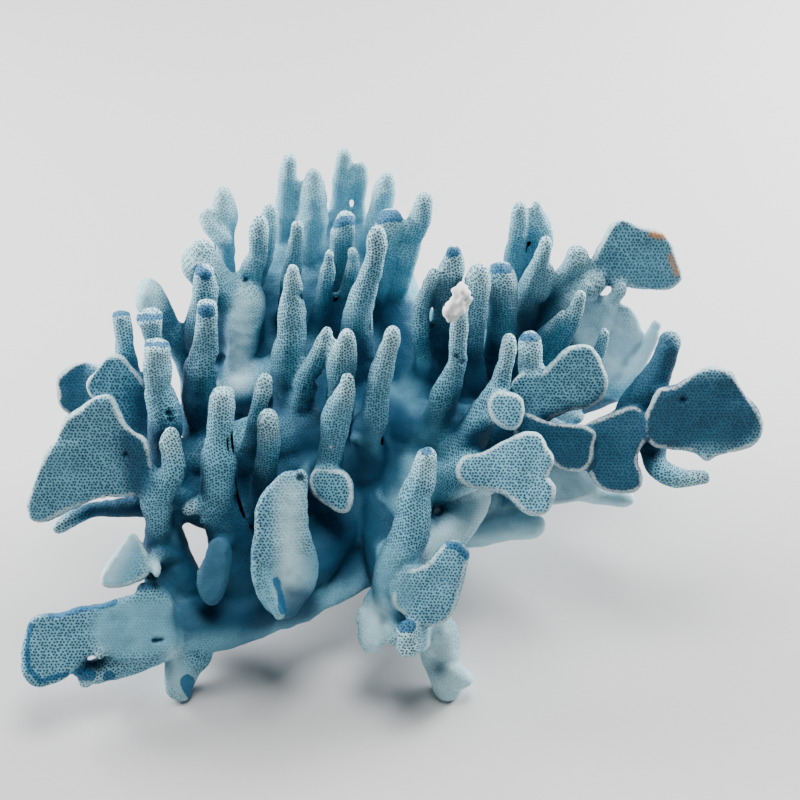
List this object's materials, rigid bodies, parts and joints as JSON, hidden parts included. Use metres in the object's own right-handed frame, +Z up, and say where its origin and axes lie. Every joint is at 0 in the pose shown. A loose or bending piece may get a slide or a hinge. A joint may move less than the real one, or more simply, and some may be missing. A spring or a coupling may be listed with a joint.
{
  "type": "blue coral",
  "caption": "Dried blue coral colony: a crown of fingers, walls and fan plates on a squat base with a low side arm and front feet, cut flat underneath to stand.",
  "frame": {"origin": "middle of the flat cut underneath, where the colony was parted from the rock", "axes": "+Z up; +X along the colony's width, towards the far right arm; -Y towards the front, where the low arm and the feet are"},
  "size_m": [0.2553, 0.1683, 0.139],
  "materials": {
    "coral": "matt, chalky and finely pored; whitish blue at the tips, cream at the fan rims, deeper blue in hollows and on broken ends"
  },
  "bodies": {
    "root": {"back_crown": "coral", "back_crown_2": "coral", "back_crown_left": "coral", "back_crown_left_2": "coral", "back_crown_left_3": "coral", "back_crown_right": "coral", "back_crown_right_2": "coral", "back_crown_right_3": "coral", "back_left_fingers": "coral", "back_right_fan": "coral", "base": "coral", "centre_finger": "coral", "crusted_finger": "coral", "far_right_arm": "coral", "front_finger": "coral", "front_foot": "coral", "front_left_finger": "coral", "front_left_pair": "coral", "front_middle_finger": "coral", "front_slab": "coral", "front_slab_2": "coral", "left_arm": "coral", "left_back_fan": "coral", "left_broken_fingers": "coral", "left_broken_fingers_2": "coral", "left_broken_fingers_3": "coral", "left_broken_fingers_4": "coral", "left_fan": "coral", "left_fingers": "coral", "left_fingers_2": "coral", "left_fingers_3": "coral", "left_wall": "coral", "low_right_arms": "coral", "middle_fingers": "coral", "middle_fingers_2": "coral", "middle_left_fingers": "coral", "right_back_fingers": "coral", "right_back_fingers_2": "coral", "right_back_fingers_3": "coral", "right_dark_plate": "coral", "right_fan": "coral", "right_front_fan": "coral", "right_middle_fingers": "coral", "right_middle_fingers_2": "coral", "right_slim_fingers": "coral"}
  },
  "joints": []
}
